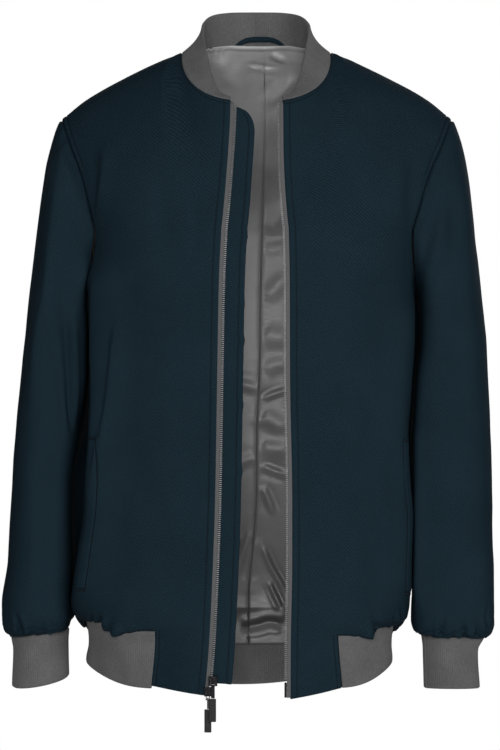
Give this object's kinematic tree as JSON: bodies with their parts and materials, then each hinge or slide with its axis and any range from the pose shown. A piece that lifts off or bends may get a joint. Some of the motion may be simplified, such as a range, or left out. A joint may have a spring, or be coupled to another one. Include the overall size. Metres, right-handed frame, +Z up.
{
  "type": "bomber jacket",
  "caption": "Open-fronted bomber jacket, filled out as if worn, with rib-knit collar, cuffs and hem band, side pockets and a two-way front zip.",
  "frame": {"origin": "middle of the neck at the height where the collar meets the shoulders, where the wearer holds the jacket up", "axes": "+Z up, the front faces -Y, the wearer's left is +X"},
  "size_m": [0.5189, 0.2664, 0.7538],
  "materials": {
    "shell_twill": "matt fine twill",
    "rib_knit": "matt rib knit",
    "satin_lining": "soft satin sheen",
    "zip_tape": "matt woven tape",
    "zip_teeth": "satin dark grey",
    "dark_metal": "glossy dark plating",
    "black_rubber": "smooth satin"
  },
  "bodies": {
    "jacket": {"front_right": "shell_twill", "front_left": "shell_twill", "back": "shell_twill", "sleeve_right": "shell_twill", "sleeve_left": "shell_twill", "collar": "rib_knit", "hem_band": "rib_knit", "cuff_right": "rib_knit", "cuff_left": "rib_knit", "zip_tape_right": "zip_tape", "zip_tape_left": "zip_tape", "zip_chain_right": "zip_teeth", "zip_chain_left": "zip_teeth", "zip_underlap": "shell_twill", "pocket_welt_right": "shell_twill", "pocket_welt_left": "shell_twill", "lining_back_right": "satin_lining", "lining_back_left": "satin_lining", "hanger_loop": "shell_twill", "zip_slider_upper": "dark_metal", "zip_slider_lower": "dark_metal", "zip_pin_left": "dark_metal"},
    "pull_upper": {"pull_upper_link": "dark_metal", "pull_upper_tab": "black_rubber"},
    "pull_lower": {"pull_lower_link": "dark_metal", "pull_lower_tab": "black_rubber"}
  },
  "joints": [
    {"name": "upper_pull_hinge", "type": "hinge", "parent": "jacket", "child": "pull_upper", "pos_m": [-0.0378, -0.1345, -0.6568], "axis": [-1, 0, 0], "range_deg": [0, 150]},
    {"name": "lower_pull_hinge", "type": "hinge", "parent": "jacket", "child": "pull_lower", "pos_m": [-0.043, -0.1302, -0.6722], "axis": [-1, 0, 0], "range_deg": [-60, 0]}
  ]
}
